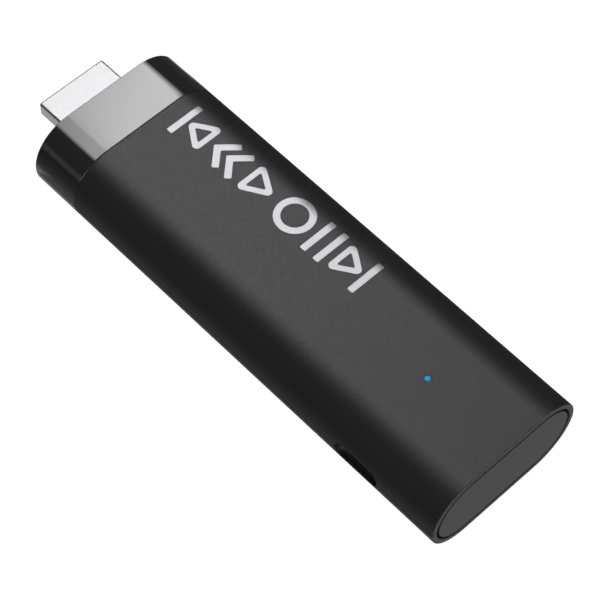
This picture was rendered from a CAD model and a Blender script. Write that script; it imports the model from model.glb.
import math

import bmesh
import bpy
from mathutils import Matrix, Vector


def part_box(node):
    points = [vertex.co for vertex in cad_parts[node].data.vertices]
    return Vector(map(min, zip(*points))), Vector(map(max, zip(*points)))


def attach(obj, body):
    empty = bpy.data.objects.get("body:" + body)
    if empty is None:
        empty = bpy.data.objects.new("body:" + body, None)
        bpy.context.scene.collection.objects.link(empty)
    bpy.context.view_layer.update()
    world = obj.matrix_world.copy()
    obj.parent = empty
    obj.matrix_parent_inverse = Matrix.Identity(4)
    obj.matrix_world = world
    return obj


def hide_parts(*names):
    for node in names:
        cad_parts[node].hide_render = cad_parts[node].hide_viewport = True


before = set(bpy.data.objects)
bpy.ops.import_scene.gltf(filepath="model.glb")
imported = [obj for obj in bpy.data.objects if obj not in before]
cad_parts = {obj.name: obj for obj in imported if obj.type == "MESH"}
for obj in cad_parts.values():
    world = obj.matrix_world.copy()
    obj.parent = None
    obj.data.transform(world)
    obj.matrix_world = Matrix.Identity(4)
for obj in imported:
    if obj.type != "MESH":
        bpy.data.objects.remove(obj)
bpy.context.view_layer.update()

MM = 0.001

# The photograph's view of the object: the camera looks down on the face with the light, from beyond
# the end cap and the side with the port.
CAMERA_AZIMUTH = 46.7
CAMERA_ELEVATION = 57.75
CAMERA_DISTANCE = 0.3486
CAMERA_TARGET = Vector((6.95, -1.14, 7.73)) * MM
CAMERA_LENS = 130.7

# The housing's section is a stadium that lies on the floor.
shell_low, shell_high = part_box("top_shell")
ROUND_RADIUS = shell_high[2] / 2
FLAT_HALF = (shell_high[1] - shell_low[1]) / 2 - ROUND_RADIUS

# The rim of housing round the end cap, and how deep the gap between them goes. A face there belongs
# to the gap unless the x of its normal reaches END_FACE_NORMAL.
END_RIM = 1.0 * MM
END_GAP_DEPTH = 2.1 * MM
END_FACE_NORMAL = 0.85

# The light pipe: a head in the housing's hole, a flange under the wall, and a stem down to the light.
lens_low, lens_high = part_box("light_pipe")
LENS_AT = Vector((
    (lens_low[0] + lens_high[0]) / 2,
    (lens_low[1] + lens_high[1]) / 2,
    lens_high[2],
))
LENS_HEAD_RADIUS = 0.55 * MM
LENS_FLANGE_RADIUS = (lens_high[0] - lens_low[0]) / 2
LENS_STEM_RADIUS = 0.9 * MM
LENS_FLANGE_DEPTHS = (1.3 * MM, 1.9 * MM)

# The print on the top face: where its row of symbols starts, the gap between two, and its strokes.
PRINT_START = (-28.6 * MM, 2.3 * MM)
PRINT_GAP = 1.3 * MM
PRINT_THICKNESS = 0.014 * MM
SYMBOL_HEIGHT = 7.1 * MM
STROKE = 1.2 * MM
FINE_STROKE = 1.0 * MM
STROKE_CORNER = 0.22 * MM
TRIANGLE_CORNER = 0.8 * MM

# Edges of a piece that turn by more than this stay sharp.
SHARP_ANGLE = math.radians(32)

# What the floor sends into reflections, where the large softbox sends about 12: pairs of a place in
# metres and a brightness. FLOOR_ACROSS runs across the stick and is brightest close to its near side.
# FLOOR_ALONG runs along it and is brightest beyond the plug and the end cap, and FLOOR_ENDS fades that
# out beside the stick.
FLOOR_ACROSS = (
    (-0.25, 0.03), (-0.06, 0.08), (-0.035, 0.16), (-0.022, 0.27), (-0.015, 0.30), (0.012, 0.03),
)
FLOOR_ALONG = (
    (-0.09, 0.1), (-0.06, 1.8), (-0.0485, 1.8), (-0.0445, 0.0),
    (0.047, 0.0), (0.0515, 0.52), (0.10, 0.35),
)
FLOOR_ENDS = ((-0.03, 0.0), (-0.018, 1.0), (0.022, 1.0), (0.032, 0.0))
FLOOR_REACH = 3.0
FLOOR_DROP = 0.02 * MM
WORLD_REFLECTED = 0.04
WORLD_SEEN = 1.1

# The curved softboxes over the stick. KEY, KEY_EDGE and KEY_FILL are pairs of an angle, in degrees
# from the vertical towards the far side, and a brightness. KEY is dimmer overhead and on the near
# side. KEY_EDGE carries it on to where it fades out, and is narrow, so that the gloss collar shows it
# and the satin housing hardly does. Their ALONG ramps are pairs of a place along the stick and a
# factor: KEY and KEY_EDGE are dimmer towards the plug, and KEY_FILL is even.
SOFTBOX_DISTANCE = 1.2
KEY = (
    (-18, 0), (-9, 6.4), (13, 6.6), (20, 7.0), (21.6, 7.3), (22, 8.0), (22.5, 10.3), (23, 10.9),
    (24, 11.2), (25.5, 11.8), (31, 11.8),
)
KEY_ALONG = ((-0.675, 0.74), (-0.61, 1.1), (-0.54, 1.04))
KEY_EDGE = ((31, 11.8), (36.5, 8.5), (42, 4), (49, 0))
KEY_EDGE_ALONG = ((-0.675, 0.74), (-0.61, 1.1))
KEY_FILL = ((-18, 0), (-9, 2.4), (13, 2.4), (24, 4), (30, 4), (34, 0))
KEY_FILL_ALONG = ((-0.5, 1.0), (0, 1.0))


def direction(azimuth, elevation):
    a, e = math.radians(azimuth), math.radians(elevation)
    return Vector((math.sin(a) * math.cos(e), -math.cos(a) * math.cos(e), math.sin(e)))


def add_camera():
    data = bpy.data.cameras.new("camera")
    data.lens = CAMERA_LENS
    data.sensor_width = 36
    data.clip_start = 0.01
    camera = bpy.data.objects.new("camera", data)
    bpy.context.scene.collection.objects.link(camera)
    back = direction(CAMERA_AZIMUTH, CAMERA_ELEVATION)
    camera.location = CAMERA_TARGET + back * CAMERA_DISTANCE
    camera.rotation_mode = "QUATERNION"
    camera.rotation_quaternion = (-back).to_track_quat("-Z", "Y")
    bpy.context.scene.camera = camera


# Materials


class Shader:
    """A material's node tree: each call adds one node, wired to what it is given."""

    def __init__(self, name):
        self.material = bpy.data.materials.new(name)
        self.material.use_nodes = True
        self.tree = self.material.node_tree
        self.surface = self.tree.nodes["Principled BSDF"]

    def node(self, kind, **inputs):
        made = self.tree.nodes.new(f"ShaderNode{kind}")
        for key, value in inputs.items():
            self.feed(made, key.replace("_", " "), value)
        return made

    def feed(self, made, socket, value):
        if isinstance(value, bpy.types.NodeSocket):
            self.tree.links.new(value, made.inputs[socket])
        else:
            made.inputs[socket].default_value = value

    def set(self, **inputs):
        for key, value in inputs.items():
            self.feed(self.surface, key.replace("_", " "), value)

    def place(self):
        return self.node("TexCoord").outputs["Object"]

    def grain(self, size, detail=2.0, stretch=None):
        """Noise whose grains are about this size. A stretch below 1 draws them out on that axis."""
        place = self.place()
        if stretch:
            place = self.node("Mapping", Vector=place, Scale=stretch).outputs["Vector"]
        made = self.node("TexNoise", Vector=place, Scale=1 / size, Detail=detail)
        return made.outputs["Fac"]

    def spread(self, value, low, high, start=0.3, end=0.7):
        """A value's range from start to end, stretched over low to high."""
        made = self.node("MapRange", Value=value)
        made.inputs["From Min"].default_value = start
        made.inputs["From Max"].default_value = end
        made.inputs["To Min"].default_value = low
        made.inputs["To Max"].default_value = high
        return made.outputs["Result"]

    def blend(self, factor, first, second):
        made = self.node("Mix")
        made.data_type = "RGBA"
        self.tree.links.new(factor, made.inputs["Factor"])
        made.inputs["A"].default_value = (*first, 1)
        made.inputs["B"].default_value = (*second, 1)
        return made.outputs["Result"]

    def mottle(self, tone, share, size, detail=2.0):
        """A tone that a grain makes lighter and darker by a share of itself."""
        return self.blend(self.grain(size, detail), scaled(tone, 1 - share), scaled(tone, 1 + share))

    def around(self, middle, swing, grain):
        """A number that a grain moves up and down by a swing."""
        return self.spread(grain, middle - swing, middle + swing)

    def ramp(self, value, stops):
        """A brightness that runs straight from stop to stop. A stop is a place and its brightness."""
        start, end = stops[0][0], stops[-1][0]
        made = self.node("ValToRGB", Fac=self.spread(value, 0.0, 1.0, start, end))
        elements = made.color_ramp.elements
        for element in elements[1:]:
            elements.remove(element)
        for number, (place, level) in enumerate(stops):
            element = elements[0] if number == 0 else elements.new((place - start) / (end - start))
            element.color = (level, level, level, 1)
        return made.outputs["Color"]

    def combine(self, kind, first, second):
        """Two values put together by a kind of Math node."""
        made = self.node("Math")
        made.operation = kind
        self.tree.links.new(first, made.inputs[0])
        self.tree.links.new(second, made.inputs[1])
        return made.outputs["Value"]

    def bump(self, height, depth):
        made = self.node("Bump", Height=height, Distance=depth, Strength=1.0)
        self.set(Normal=made.outputs["Normal"])


def satin_plastic(name, tone, roughness):
    """Moulded plastic with a fine spark-eroded texture."""
    shader = Shader(name)
    shader.set(
        Base_Color=shader.mottle(tone, 0.15, 0.5 * MM, detail=4),
        Roughness=shader.around(roughness, 0.053, shader.grain(0.35 * MM, detail=4)),
        Specular_IOR_Level=0.42,
    )
    shader.bump(shader.grain(0.3 * MM, detail=3), 0.009 * MM)
    return shader.material


def gloss_plastic(name, tone):
    """Polished plastic: nearly a mirror, with the slow waviness of a moulded face."""
    shader = Shader(name)
    shader.set(
        Base_Color=shader.mottle(tone, 0.07, 2 * MM),
        Roughness=shader.around(0.06, 0.01, shader.grain(1.5 * MM, detail=5)),
        Specular_IOR_Level=0.5,
    )
    shader.bump(shader.grain(6 * MM), 0.002 * MM)
    return shader.material


def plain_plastic(name, tone, roughness):
    """The plastic of connectors, switches and chips: faint mottling and a fine matt grain."""
    shader = Shader(name)
    shader.set(
        Base_Color=shader.mottle(tone, 0.2, 0.3 * MM, detail=4),
        Roughness=shader.around(roughness, 0.06, shader.grain(0.2 * MM)),
        Specular_IOR_Level=0.5,
    )
    shader.bump(shader.grain(0.06 * MM, detail=3), 0.003 * MM)
    return shader.material


def metal(name, tone, roughness, stretch=(1, 1, 1)):
    """Plated or drawn metal. stretch draws the grain out along an axis, as rolling or brushing does."""
    shader = Shader(name)
    grain = shader.grain(0.25 * MM, detail=4, stretch=stretch)
    shader.set(
        Base_Color=shader.mottle(tone, 0.05, 0.9 * MM, detail=5),
        Metallic=1.0,
        Roughness=shader.around(roughness, 0.05, grain),
    )
    shader.bump(grain, 0.0015 * MM)
    return shader.material


def lit_lens(name):
    """A clear blue lens with the light behind it: brightest in the middle, darker at its edge."""
    shader = Shader(name)
    away = shader.node("VectorMath", Vector=shader.place())
    away.operation = "SUBTRACT"
    away.inputs[1].default_value = LENS_AT
    radius = shader.node("VectorMath", Vector=away.outputs["Vector"])
    radius.operation = "LENGTH"
    glow = shader.spread(radius.outputs["Value"], 0.52, 0.26, 0.15 * MM, 0.5 * MM)
    shader.set(
        Base_Color=shader.blend(shader.grain(0.2 * MM), (0.004, 0.03, 0.05), (0.006, 0.04, 0.07)),
        Roughness=0.5,
        Specular_IOR_Level=0.25,
        Emission_Color=(0.03, 0.50, 0.92, 1),
        Emission_Strength=glow,
    )
    shader.bump(shader.grain(0.25 * MM), 0.002 * MM)
    return shader.material


def solder_mask(name):
    """A dark green board: copper tracks and ground fill show faintly through the lacquer."""
    shader = Shader(name)
    tracks = shader.node("TexBrick", Vector=shader.place(), Scale=1 / (1.1 * MM))
    tracks.inputs["Mortar Size"].default_value = 0.06
    tracks.inputs["Brick Width"].default_value = 1.7
    tracks.inputs["Row Height"].default_value = 0.34
    shader.set(
        Base_Color=shader.blend(tracks.outputs["Fac"], (0.006, 0.045, 0.022), (0.012, 0.085, 0.040)),
        Roughness=shader.around(0.29, 0.05, shader.grain(0.5 * MM, detail=4)),
        Coat_Weight=0.3,
    )
    shader.bump(tracks.outputs["Fac"], 0.02 * MM)
    return shader.material


def ferrite(name, tone):
    """Sintered powder: speckled, dull, a little pitted."""
    shader = Shader(name)
    cells = shader.node("TexVoronoi", Vector=shader.place(), Scale=1 / (0.12 * MM)).outputs["Distance"]
    shader.set(
        Base_Color=shader.blend(cells, scaled(tone, 0.7), scaled(tone, 1.5)),
        Roughness=shader.around(0.65, 0.1, shader.grain(0.2 * MM)),
    )
    shader.bump(cells, 0.01 * MM)
    return shader.material


def silicone(name, tone):
    """A soft gap pad: waxy, with a dimpled skin."""
    shader = Shader(name)
    dimples = shader.node("TexVoronoi", Vector=shader.place(), Scale=1 / (0.4 * MM)).outputs["Distance"]
    shader.set(
        Base_Color=shader.mottle(tone, 0.1, 0.8 * MM, detail=4),
        Roughness=shader.around(0.575, 0.075, shader.grain(0.4 * MM)),
        Subsurface_Weight=0.1,
        Subsurface_Scale=0.5 * MM,
    )
    shader.bump(dimples, 0.02 * MM)
    return shader.material


def label_film(name, tone):
    """A blank polyester label: smooth, with the faint orange peel of its glue."""
    shader = Shader(name)
    shader.set(
        Base_Color=shader.mottle(tone, 0.03, 3 * MM, detail=3),
        Roughness=shader.around(0.41, 0.05, shader.grain(1 * MM, detail=4)),
    )
    shader.bump(shader.grain(0.8 * MM, detail=2), 0.003 * MM)
    return shader.material


def scaled(tone, factor):
    return tuple(channel * factor for channel in tone)


def paint(material, *nodes):
    """Gives CAD nodes a material in place of their own."""
    for node in nodes:
        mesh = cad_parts[node].data
        mesh.materials.clear()
        mesh.materials.append(material)


def paint_walls(material, node, is_wall):
    """Gives the walls of a node a finish of their own."""
    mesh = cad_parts[node].data
    mesh.materials.append(material)
    for face in mesh.polygons:
        if is_wall(face):
            face.material_index = 1


def paint_end_gap():
    """Gives the walls of the gap round the end cap a rough finish that looks black."""
    rough = plain_plastic("gap_walls", (0.002, 0.002, 0.002), 0.8)
    gap_start = shell_high[0] - END_GAP_DEPTH

    def beside_gap(face):
        across = max(0.0, abs(face.center.y) - FLAT_HALF)
        inside_rim = math.hypot(across, face.center.z - ROUND_RADIUS) < ROUND_RADIUS - END_RIM / 2
        return inside_rim and face.center.x > gap_start and face.normal.x < END_FACE_NORMAL

    for node in ("end_cap", "top_shell", "bottom_shell"):
        paint_walls(rough, node, beside_gap)


def paint_outside():
    charcoal = (0.009, 0.009, 0.0093)
    paint(satin_plastic("housing_matte", charcoal, 0.48), "top_shell", "bottom_shell")
    paint(satin_plastic("cap_matte", charcoal, 0.48), "end_cap")
    paint(gloss_plastic("collar_gloss", (0.017, 0.017, 0.0174)), "front_collar")
    paint(metal("plug_steel", (0.27, 0.27, 0.274), 0.38), "hdmi_shell")


def paint_connectors():
    gold = metal("contact_gold", (0.80, 0.55, 0.20), 0.26, (0.2, 1, 1))
    black = plain_plastic("insulator_black", (0.012, 0.012, 0.012), 0.45)
    paint(gold, "hdmi_contacts", "usb_c_contacts")
    paint(black, "hdmi_insulator", "usb_c_tongue")
    paint(metal("port_steel", (0.42, 0.42, 0.43), 0.32), "usb_c_shell")


def paint_inner_parts():
    epoxy = plain_plastic("chip_epoxy", (0.014, 0.014, 0.015), 0.5)
    steel = metal("shield_steel", (0.62, 0.61, 0.58), 0.34, (0.15, 1, 1))
    bronze = metal("antenna_bronze", (0.62, 0.43, 0.24), 0.3, (1, 0.2, 1))
    paint(solder_mask("board_mask"), "main_board")
    paint(epoxy, "processor", "memory_chips", "flash_chip", "power_chip")
    paint(steel, "shield_can", "wifi_module")
    paint(silicone("pad_silicone", (0.34, 0.36, 0.42)), "processor_pad", "spreader_pad")
    paint(metal("spreader_aluminium", (0.72, 0.73, 0.74), 0.33, (0.1, 1, 1)), "heat_spreader")
    paint(bronze, "antenna_left", "antenna_right")
    paint(ferrite("ceramic_parts", (0.32, 0.22, 0.13)), "capacitors")
    paint(ferrite("ferrite_parts", (0.045, 0.045, 0.05)), "inductors")
    paint(metal("crystal_steel", (0.68, 0.67, 0.65), 0.28), "crystals")
    paint(plain_plastic("led_white", (0.72, 0.72, 0.68), 0.35), "status_led")
    paint(plain_plastic("switch_black", (0.02, 0.02, 0.021), 0.4), "reset_switch")
    paint(plain_plastic("plunger_white", (0.66, 0.66, 0.64), 0.4), "reset_plunger")
    paint(label_film("label_film", (0.30, 0.30, 0.31)), "rating_label")


# Flat outlines. A point is (along, across), in metres.


def rounded(points, radius, steps=6):
    """A closed outline with each corner rounded off by an arc."""
    outline = []
    for before, corner, after in zip(points[-1:] + points[:-1], points, points[1:] + points[:1]):
        corner = Vector(corner)
        back = (Vector(before) - corner).normalized()
        ahead = (Vector(after) - corner).normalized()
        half = back.angle(ahead) / 2
        middle = corner + (back + ahead).normalized() * radius / math.sin(half)
        first = corner + back * radius / math.tan(half) - middle
        last = corner + ahead * radius / math.tan(half) - middle
        turn = math.pi - 2 * half
        for step in range(steps + 1):
            share = step / steps
            arm = first * math.sin((1 - share) * turn) + last * math.sin(share * turn)
            outline.append(tuple(middle + arm / math.sin(turn)))
    return outline


def offset(points, distance, closed=True):
    """The points moved to their left by a distance, mitred at the corners."""
    count = len(points)
    outline = []
    for number, point in enumerate(points):
        point = Vector(point)
        before = Vector(points[number - 1]) if closed or number > 0 else None
        after = Vector(points[(number + 1) % count]) if closed or number < count - 1 else None
        sides = []
        if before is not None:
            sides.append((point - before).normalized())
        if after is not None:
            sides.append((after - point).normalized())
        lefts = [Vector((-side.y, side.x)) for side in sides]
        mitre = sum(lefts, Vector((0, 0))).normalized()
        outline.append(tuple(point + mitre * distance / mitre.dot(lefts[0])))
    return outline


# The print on the top face: a row of media symbols


def bar(start):
    """An upright bar: its outline, as a list of loops."""
    points = [(start, 0), (start + STROKE, 0), (start + STROKE, SYMBOL_HEIGHT), (start, SYMBOL_HEIGHT)]
    return [rounded(points, STROKE_CORNER)]


def chevron(start, width):
    """An angle that points ahead."""
    line = [
        (start + STROKE / 2, SYMBOL_HEIGHT - STROKE / 2),
        (start + width - STROKE / 2, SYMBOL_HEIGHT / 2),
        (start + STROKE / 2, STROKE / 2),
    ]
    left = offset(line, STROKE / 2, closed=False)
    right = offset(line, -STROKE / 2, closed=False)
    return [rounded(left + right[::-1], STROKE_CORNER)]


def triangle(start, width):
    """A triangle that points ahead, as an outer and an inner loop."""
    points = [(start, 0), (start + width, SYMBOL_HEIGHT / 2), (start, SYMBOL_HEIGHT)]
    return [rounded(points, TRIANGLE_CORNER), rounded(offset(points, FINE_STROKE), STROKE_CORNER)]


def ring(steps=48):
    """A round ring of the symbols' full height."""
    middle = SYMBOL_HEIGHT / 2
    angles = [2 * math.pi * step / steps for step in range(steps)]
    loops = []
    for radius in (middle, middle - STROKE):
        loops.append([(middle + radius * math.cos(a), middle + radius * math.sin(a)) for a in angles])
    return loops


def mirrored(loops, width):
    return [[(width - along, across) for along, across in loop] for loop in loops]


def moved(loop, by_along, by_across):
    return [(by_along + along, by_across + across) for along, across in loop]


def symbols():
    """Back, rewind, play, record, pause and next: each one's width, and its parts as lists of loops."""
    skip = (6.6 * MM, [triangle(0, 5.4 * MM), bar(6.6 * MM - STROKE)])
    fast = (6.9 * MM, [chevron(0, 3.9 * MM), chevron(3.0 * MM, 3.9 * MM)])
    play = (6.0 * MM, [triangle(0, 6.0 * MM)])
    record = (SYMBOL_HEIGHT, [ring()])
    pause = (4.1 * MM, [bar(0), bar(4.1 * MM - STROKE)])
    back = (skip[0], [mirrored(part, skip[0]) for part in skip[1]])
    rewind = (fast[0], [mirrored(part, fast[0]) for part in fast[1]])
    return [back, rewind, play, record, pause, skip]


def on_skin(along, around, lift):
    """A point on the housing's outside. around is counted over the surface from the top's middle."""
    past = max(0.0, abs(around) - FLAT_HALF) / ROUND_RADIUS
    side = math.copysign(1, around)
    across = side * min(abs(around), FLAT_HALF) + side * (ROUND_RADIUS + lift) * math.sin(past)
    return Vector((along, across, ROUND_RADIUS + (ROUND_RADIUS + lift) * math.cos(past)))


def fill(mesh, loops):
    """A flat face inside the first loop and outside the others."""
    edges = []
    for loop in loops:
        corners = [mesh.verts.new((along, across, 0)) for along, across in loop]
        for number, corner in enumerate(corners):
            edges.append(mesh.edges.new((corners[number - 1], corner)))
    bmesh.ops.triangle_fill(mesh, edges=edges, use_beauty=True)


def finish_piece(name, mesh, material, slot, *nodes):
    """Turns a bmesh into a piece that rides on the housing and stands for the nodes."""
    bmesh.ops.recalc_face_normals(mesh, faces=mesh.faces)
    data = bpy.data.meshes.new(name)
    mesh.to_mesh(data)
    mesh.free()
    data.shade_smooth()
    data.set_sharp_from_angle(angle=SHARP_ANGLE)
    data.materials.append(material)
    piece = bpy.data.objects.new(name, data)
    bpy.context.scene.collection.objects.link(piece)
    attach(piece, "housing")
    if nodes:
        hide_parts(*nodes)


def cut_lengthways(mesh, first, step, count):
    """Cuts a flat mesh along lines that run with the stick, so that it can bend round its side."""
    for number in range(count):
        geometry = mesh.verts[:] + mesh.edges[:] + mesh.faces[:]
        cut_at = first + number * step
        bmesh.ops.bisect_plane(mesh, geom=geometry, plane_co=(0, cut_at, 0), plane_no=(0, 1, 0))


def add_print(material):
    """The row of symbols, filled flat, given a thickness, and bent down over the rounded side."""
    mesh = bmesh.new()
    at, start_around = PRINT_START
    for width, parts in symbols():
        for loops in parts:
            fill(mesh, [moved(loop, at, start_around) for loop in loops])
        at += width + PRINT_GAP
    cut_lengthways(mesh, first=FLAT_HALF, step=0.12 * MM, count=16)
    top = bmesh.ops.extrude_face_region(mesh, geom=mesh.faces[:])["geom"]
    for corner in top:
        if isinstance(corner, bmesh.types.BMVert):
            corner.co.z = PRINT_THICKNESS
    for corner in mesh.verts:
        lift = corner.co.z if corner.co.z > 0 else -PRINT_THICKNESS
        corner.co = on_skin(corner.co.x, corner.co.y, lift)
    finish_piece("media_symbols", mesh, material, "print_silver")


def revolve(mesh, profile, centre, steps=32):
    """A body turned round an upright axis. Its profile, of (radius, height), starts and ends on it."""
    rings = []
    for radius, height in profile:
        if radius == 0:
            rings.append([mesh.verts.new(centre + Vector((0, 0, height)))])
            continue
        ring = []
        for step in range(steps):
            angle = 2 * math.pi * step / steps
            arm = Vector((radius * math.cos(angle), radius * math.sin(angle), height))
            ring.append(mesh.verts.new(centre + arm))
        rings.append(ring)
    for lower, upper in zip(rings, rings[1:]):
        for step in range(steps):
            after = (step + 1) % steps
            corners = [lower[step % len(lower)], lower[after % len(lower)]]
            corners += [upper[after % len(upper)], upper[step % len(upper)]]
            mesh.faces.new(list(dict.fromkeys(corners)))


def add_lens(material):
    """The light pipe: a flanged stem whose head, flush with the housing, has a soft edge and a dome."""
    radius = LENS_HEAD_RADIUS
    edge = 0.09 * MM
    dome = 0.02 * MM
    bottom = lens_low[2] - LENS_AT.z
    flange_top, flange_bottom = LENS_FLANGE_DEPTHS
    profile = [
        (0, bottom),
        (LENS_STEM_RADIUS - edge, bottom),
        (LENS_STEM_RADIUS, bottom + edge),
        (LENS_STEM_RADIUS, -flange_bottom),
        (LENS_FLANGE_RADIUS, -flange_bottom),
        (LENS_FLANGE_RADIUS, -flange_top),
        (radius, -flange_top),
        (radius, -edge - dome),
    ]
    for degrees in range(15, 91, 15):
        angle = math.radians(degrees)
        profile.append((radius - edge + edge * math.cos(angle), -edge - dome + edge * math.sin(angle)))
    profile += [(radius * 0.55, -0.4 * dome), (radius * 0.25, -0.08 * dome), (0, 0)]
    mesh = bmesh.new()
    revolve(mesh, profile, LENS_AT)
    finish_piece("light_lens", mesh, material, "light_lens", "light_pipe")


# The studio


def add_floor():
    """A plain floor. It is white to the camera, and a soft grey in the object's reflections."""
    mesh = bpy.data.meshes.new("floor")
    corners = [(FLOOR_REACH * x, FLOOR_REACH * y, 0) for x, y in ((-1, -1), (1, -1), (1, 1), (-1, 1))]
    mesh.from_pydata(corners, [], [(0, 1, 2, 3)])
    floor = bpy.data.objects.new("floor", mesh)
    bpy.context.scene.collection.objects.link(floor)
    floor.location.z = -FLOOR_DROP
    shader = Shader("pale_floor")
    seen = shader.node("LightPath").outputs["Is Camera Ray"]
    place = shader.node("SeparateXYZ", Vector=shader.place()).outputs
    along = shader.ramp(place["X"], FLOOR_ALONG)
    ends = shader.combine("MINIMUM", along, shader.ramp(place["Y"], FLOOR_ENDS))
    glow = shader.combine("MAXIMUM", ends, shader.ramp(place["Y"], FLOOR_ACROSS))
    shader.set(
        Base_Color=shader.blend(shader.grain(0.05), (0.045, 0.045, 0.045), (0.055, 0.055, 0.055)),
        Roughness=0.9,
        Specular_IOR_Level=0.0,
        Emission_Color=(1, 1, 1, 1),
        Emission_Strength=shader.combine("MAXIMUM", glow, seen),
    )
    mesh.materials.append(shader.material)


def add_softbox(name, towards, distance, size, radiance, across):
    """A rectangular light that faces the object. across is the direction of its first side."""
    data = bpy.data.lights.new(name, "AREA")
    data.shape = "RECTANGLE"
    data.size, data.size_y = size
    data.energy = radiance * math.pi * size[0] * size[1]
    light = bpy.data.objects.new(name, data)
    light.visible_camera = False
    bpy.context.scene.collection.objects.link(light)
    back = Vector(towards).normalized()
    light.location = back * distance
    side = Vector(across)
    side = (side - back * side.dot(back)).normalized()
    turn = Matrix((side, back.cross(side), back)).transposed()
    light.rotation_mode = "QUATERNION"
    light.rotation_quaternion = turn.to_quaternion()


def add_world():
    """Nearly dark in reflections, white behind the object."""
    world = bpy.data.worlds.new("studio")
    bpy.context.scene.world = world
    world.use_nodes = True
    tree = world.node_tree
    dark = tree.nodes["Background"]
    dark.inputs["Color"].default_value = (*[WORLD_REFLECTED] * 3, 1)
    white = tree.nodes.new("ShaderNodeBackground")
    white.inputs["Color"].default_value = (*[WORLD_SEEN] * 3, 1)
    rays = tree.nodes.new("ShaderNodeLightPath")
    mix = tree.nodes.new("ShaderNodeMixShader")
    tree.links.new(rays.outputs["Is Camera Ray"], mix.inputs[0])
    tree.links.new(dark.outputs[0], mix.inputs[1])
    tree.links.new(white.outputs[0], mix.inputs[2])
    tree.links.new(mix.outputs[0], tree.nodes["World Output"].inputs["Surface"])


def add_softbox_curve(name, lean, width, around, along):
    """A softbox that curves round the object's long axis: a sheet that glows.

    around gives its brightness from stop to stop, by the angle in degrees from the vertical towards
    the far side, and along gives a factor on that by the place along the axis. lean is how far its
    middle leans along the axis.
    """
    reach = SOFTBOX_DISTANCE * math.sqrt(1 - lean**2)
    first, last = around[0][0], around[-1][0]
    count = 24
    corners = []
    for step in range(count + 1):
        angle = math.radians(first + (last - first) * step / count)
        for side in (-width / 2, width / 2):
            place = (SOFTBOX_DISTANCE * lean + side, reach * math.sin(angle), reach * math.cos(angle))
            corners.append(place)
    faces = [(2 * step, 2 * step + 1, 2 * step + 3, 2 * step + 2) for step in range(count)]
    mesh = bpy.data.meshes.new(name)
    mesh.from_pydata(corners, [], faces)
    sheet = bpy.data.objects.new(name, mesh)
    sheet.visible_camera = False
    bpy.context.scene.collection.objects.link(sheet)
    shader = Shader(name)
    place = shader.node("SeparateXYZ", Vector=shader.place()).outputs
    peak = max(level for angle, level in around)
    stops = [(math.radians(angle), level / peak) for angle, level in around]
    turn = shader.combine("ARCTAN2", place["Y"], place["Z"])
    glow = shader.combine("MULTIPLY", shader.ramp(turn, stops), shader.ramp(place["X"], along))
    shader.set(
        Base_Color=(0, 0, 0, 1),
        Specular_IOR_Level=0.0,
        Emission_Color=(1, 1, 1, 1),
        Emission_Strength=shader.spread(glow, 0.0, peak, 0.0, 1.0),
    )
    mesh.materials.append(shader.material)


def add_lights():
    # The large softbox whose reflection crosses the collar, in two sheets, and a dimmer one beside it.
    add_softbox_curve("key", -0.48, 0.36, KEY, KEY_ALONG)
    add_softbox_curve("key_edge", -0.53, 0.12, KEY_EDGE, KEY_EDGE_ALONG)
    add_softbox_curve("key_fill", -0.2, 0.3, KEY_FILL, KEY_FILL_ALONG)
    # A faint strip low on the near side, brighter along its middle.
    near_low = (-0.51, -0.83, 0.25)
    add_softbox("near_strip", near_low, 1.2, (0.7, 0.36), 0.14, (1, 0, 0))
    add_softbox("near_strip_middle", near_low, 1.19, (0.7, 0.18), 0.26, (1, 0, 0))
    # Fills for the end cap, the near side and the far side.
    add_softbox("end_fill", (0.95, -0.28, 0.24), 1.3, (1.3, 0.5), 4.5, (0, 1, 0))
    add_softbox("near_fill", (0.46, -0.82, 0.34), 1.3, (1.0, 0.5), 1.6, (1, 0.4, 0))
    add_softbox("far_fill", (0.80, 0.38, 0.42), 1.3, (0.7, 0.8), 4.0, (1, -1.5, 0))


add_camera()
paint_outside()
paint_end_gap()
paint_connectors()
paint_inner_parts()
add_print(metal("print_silver", (0.23, 0.23, 0.235), 0.40))
add_lens(lit_lens("light_lens"))
add_floor()
add_world()
add_lights()
bpy.context.scene.view_settings.view_transform = "Standard"
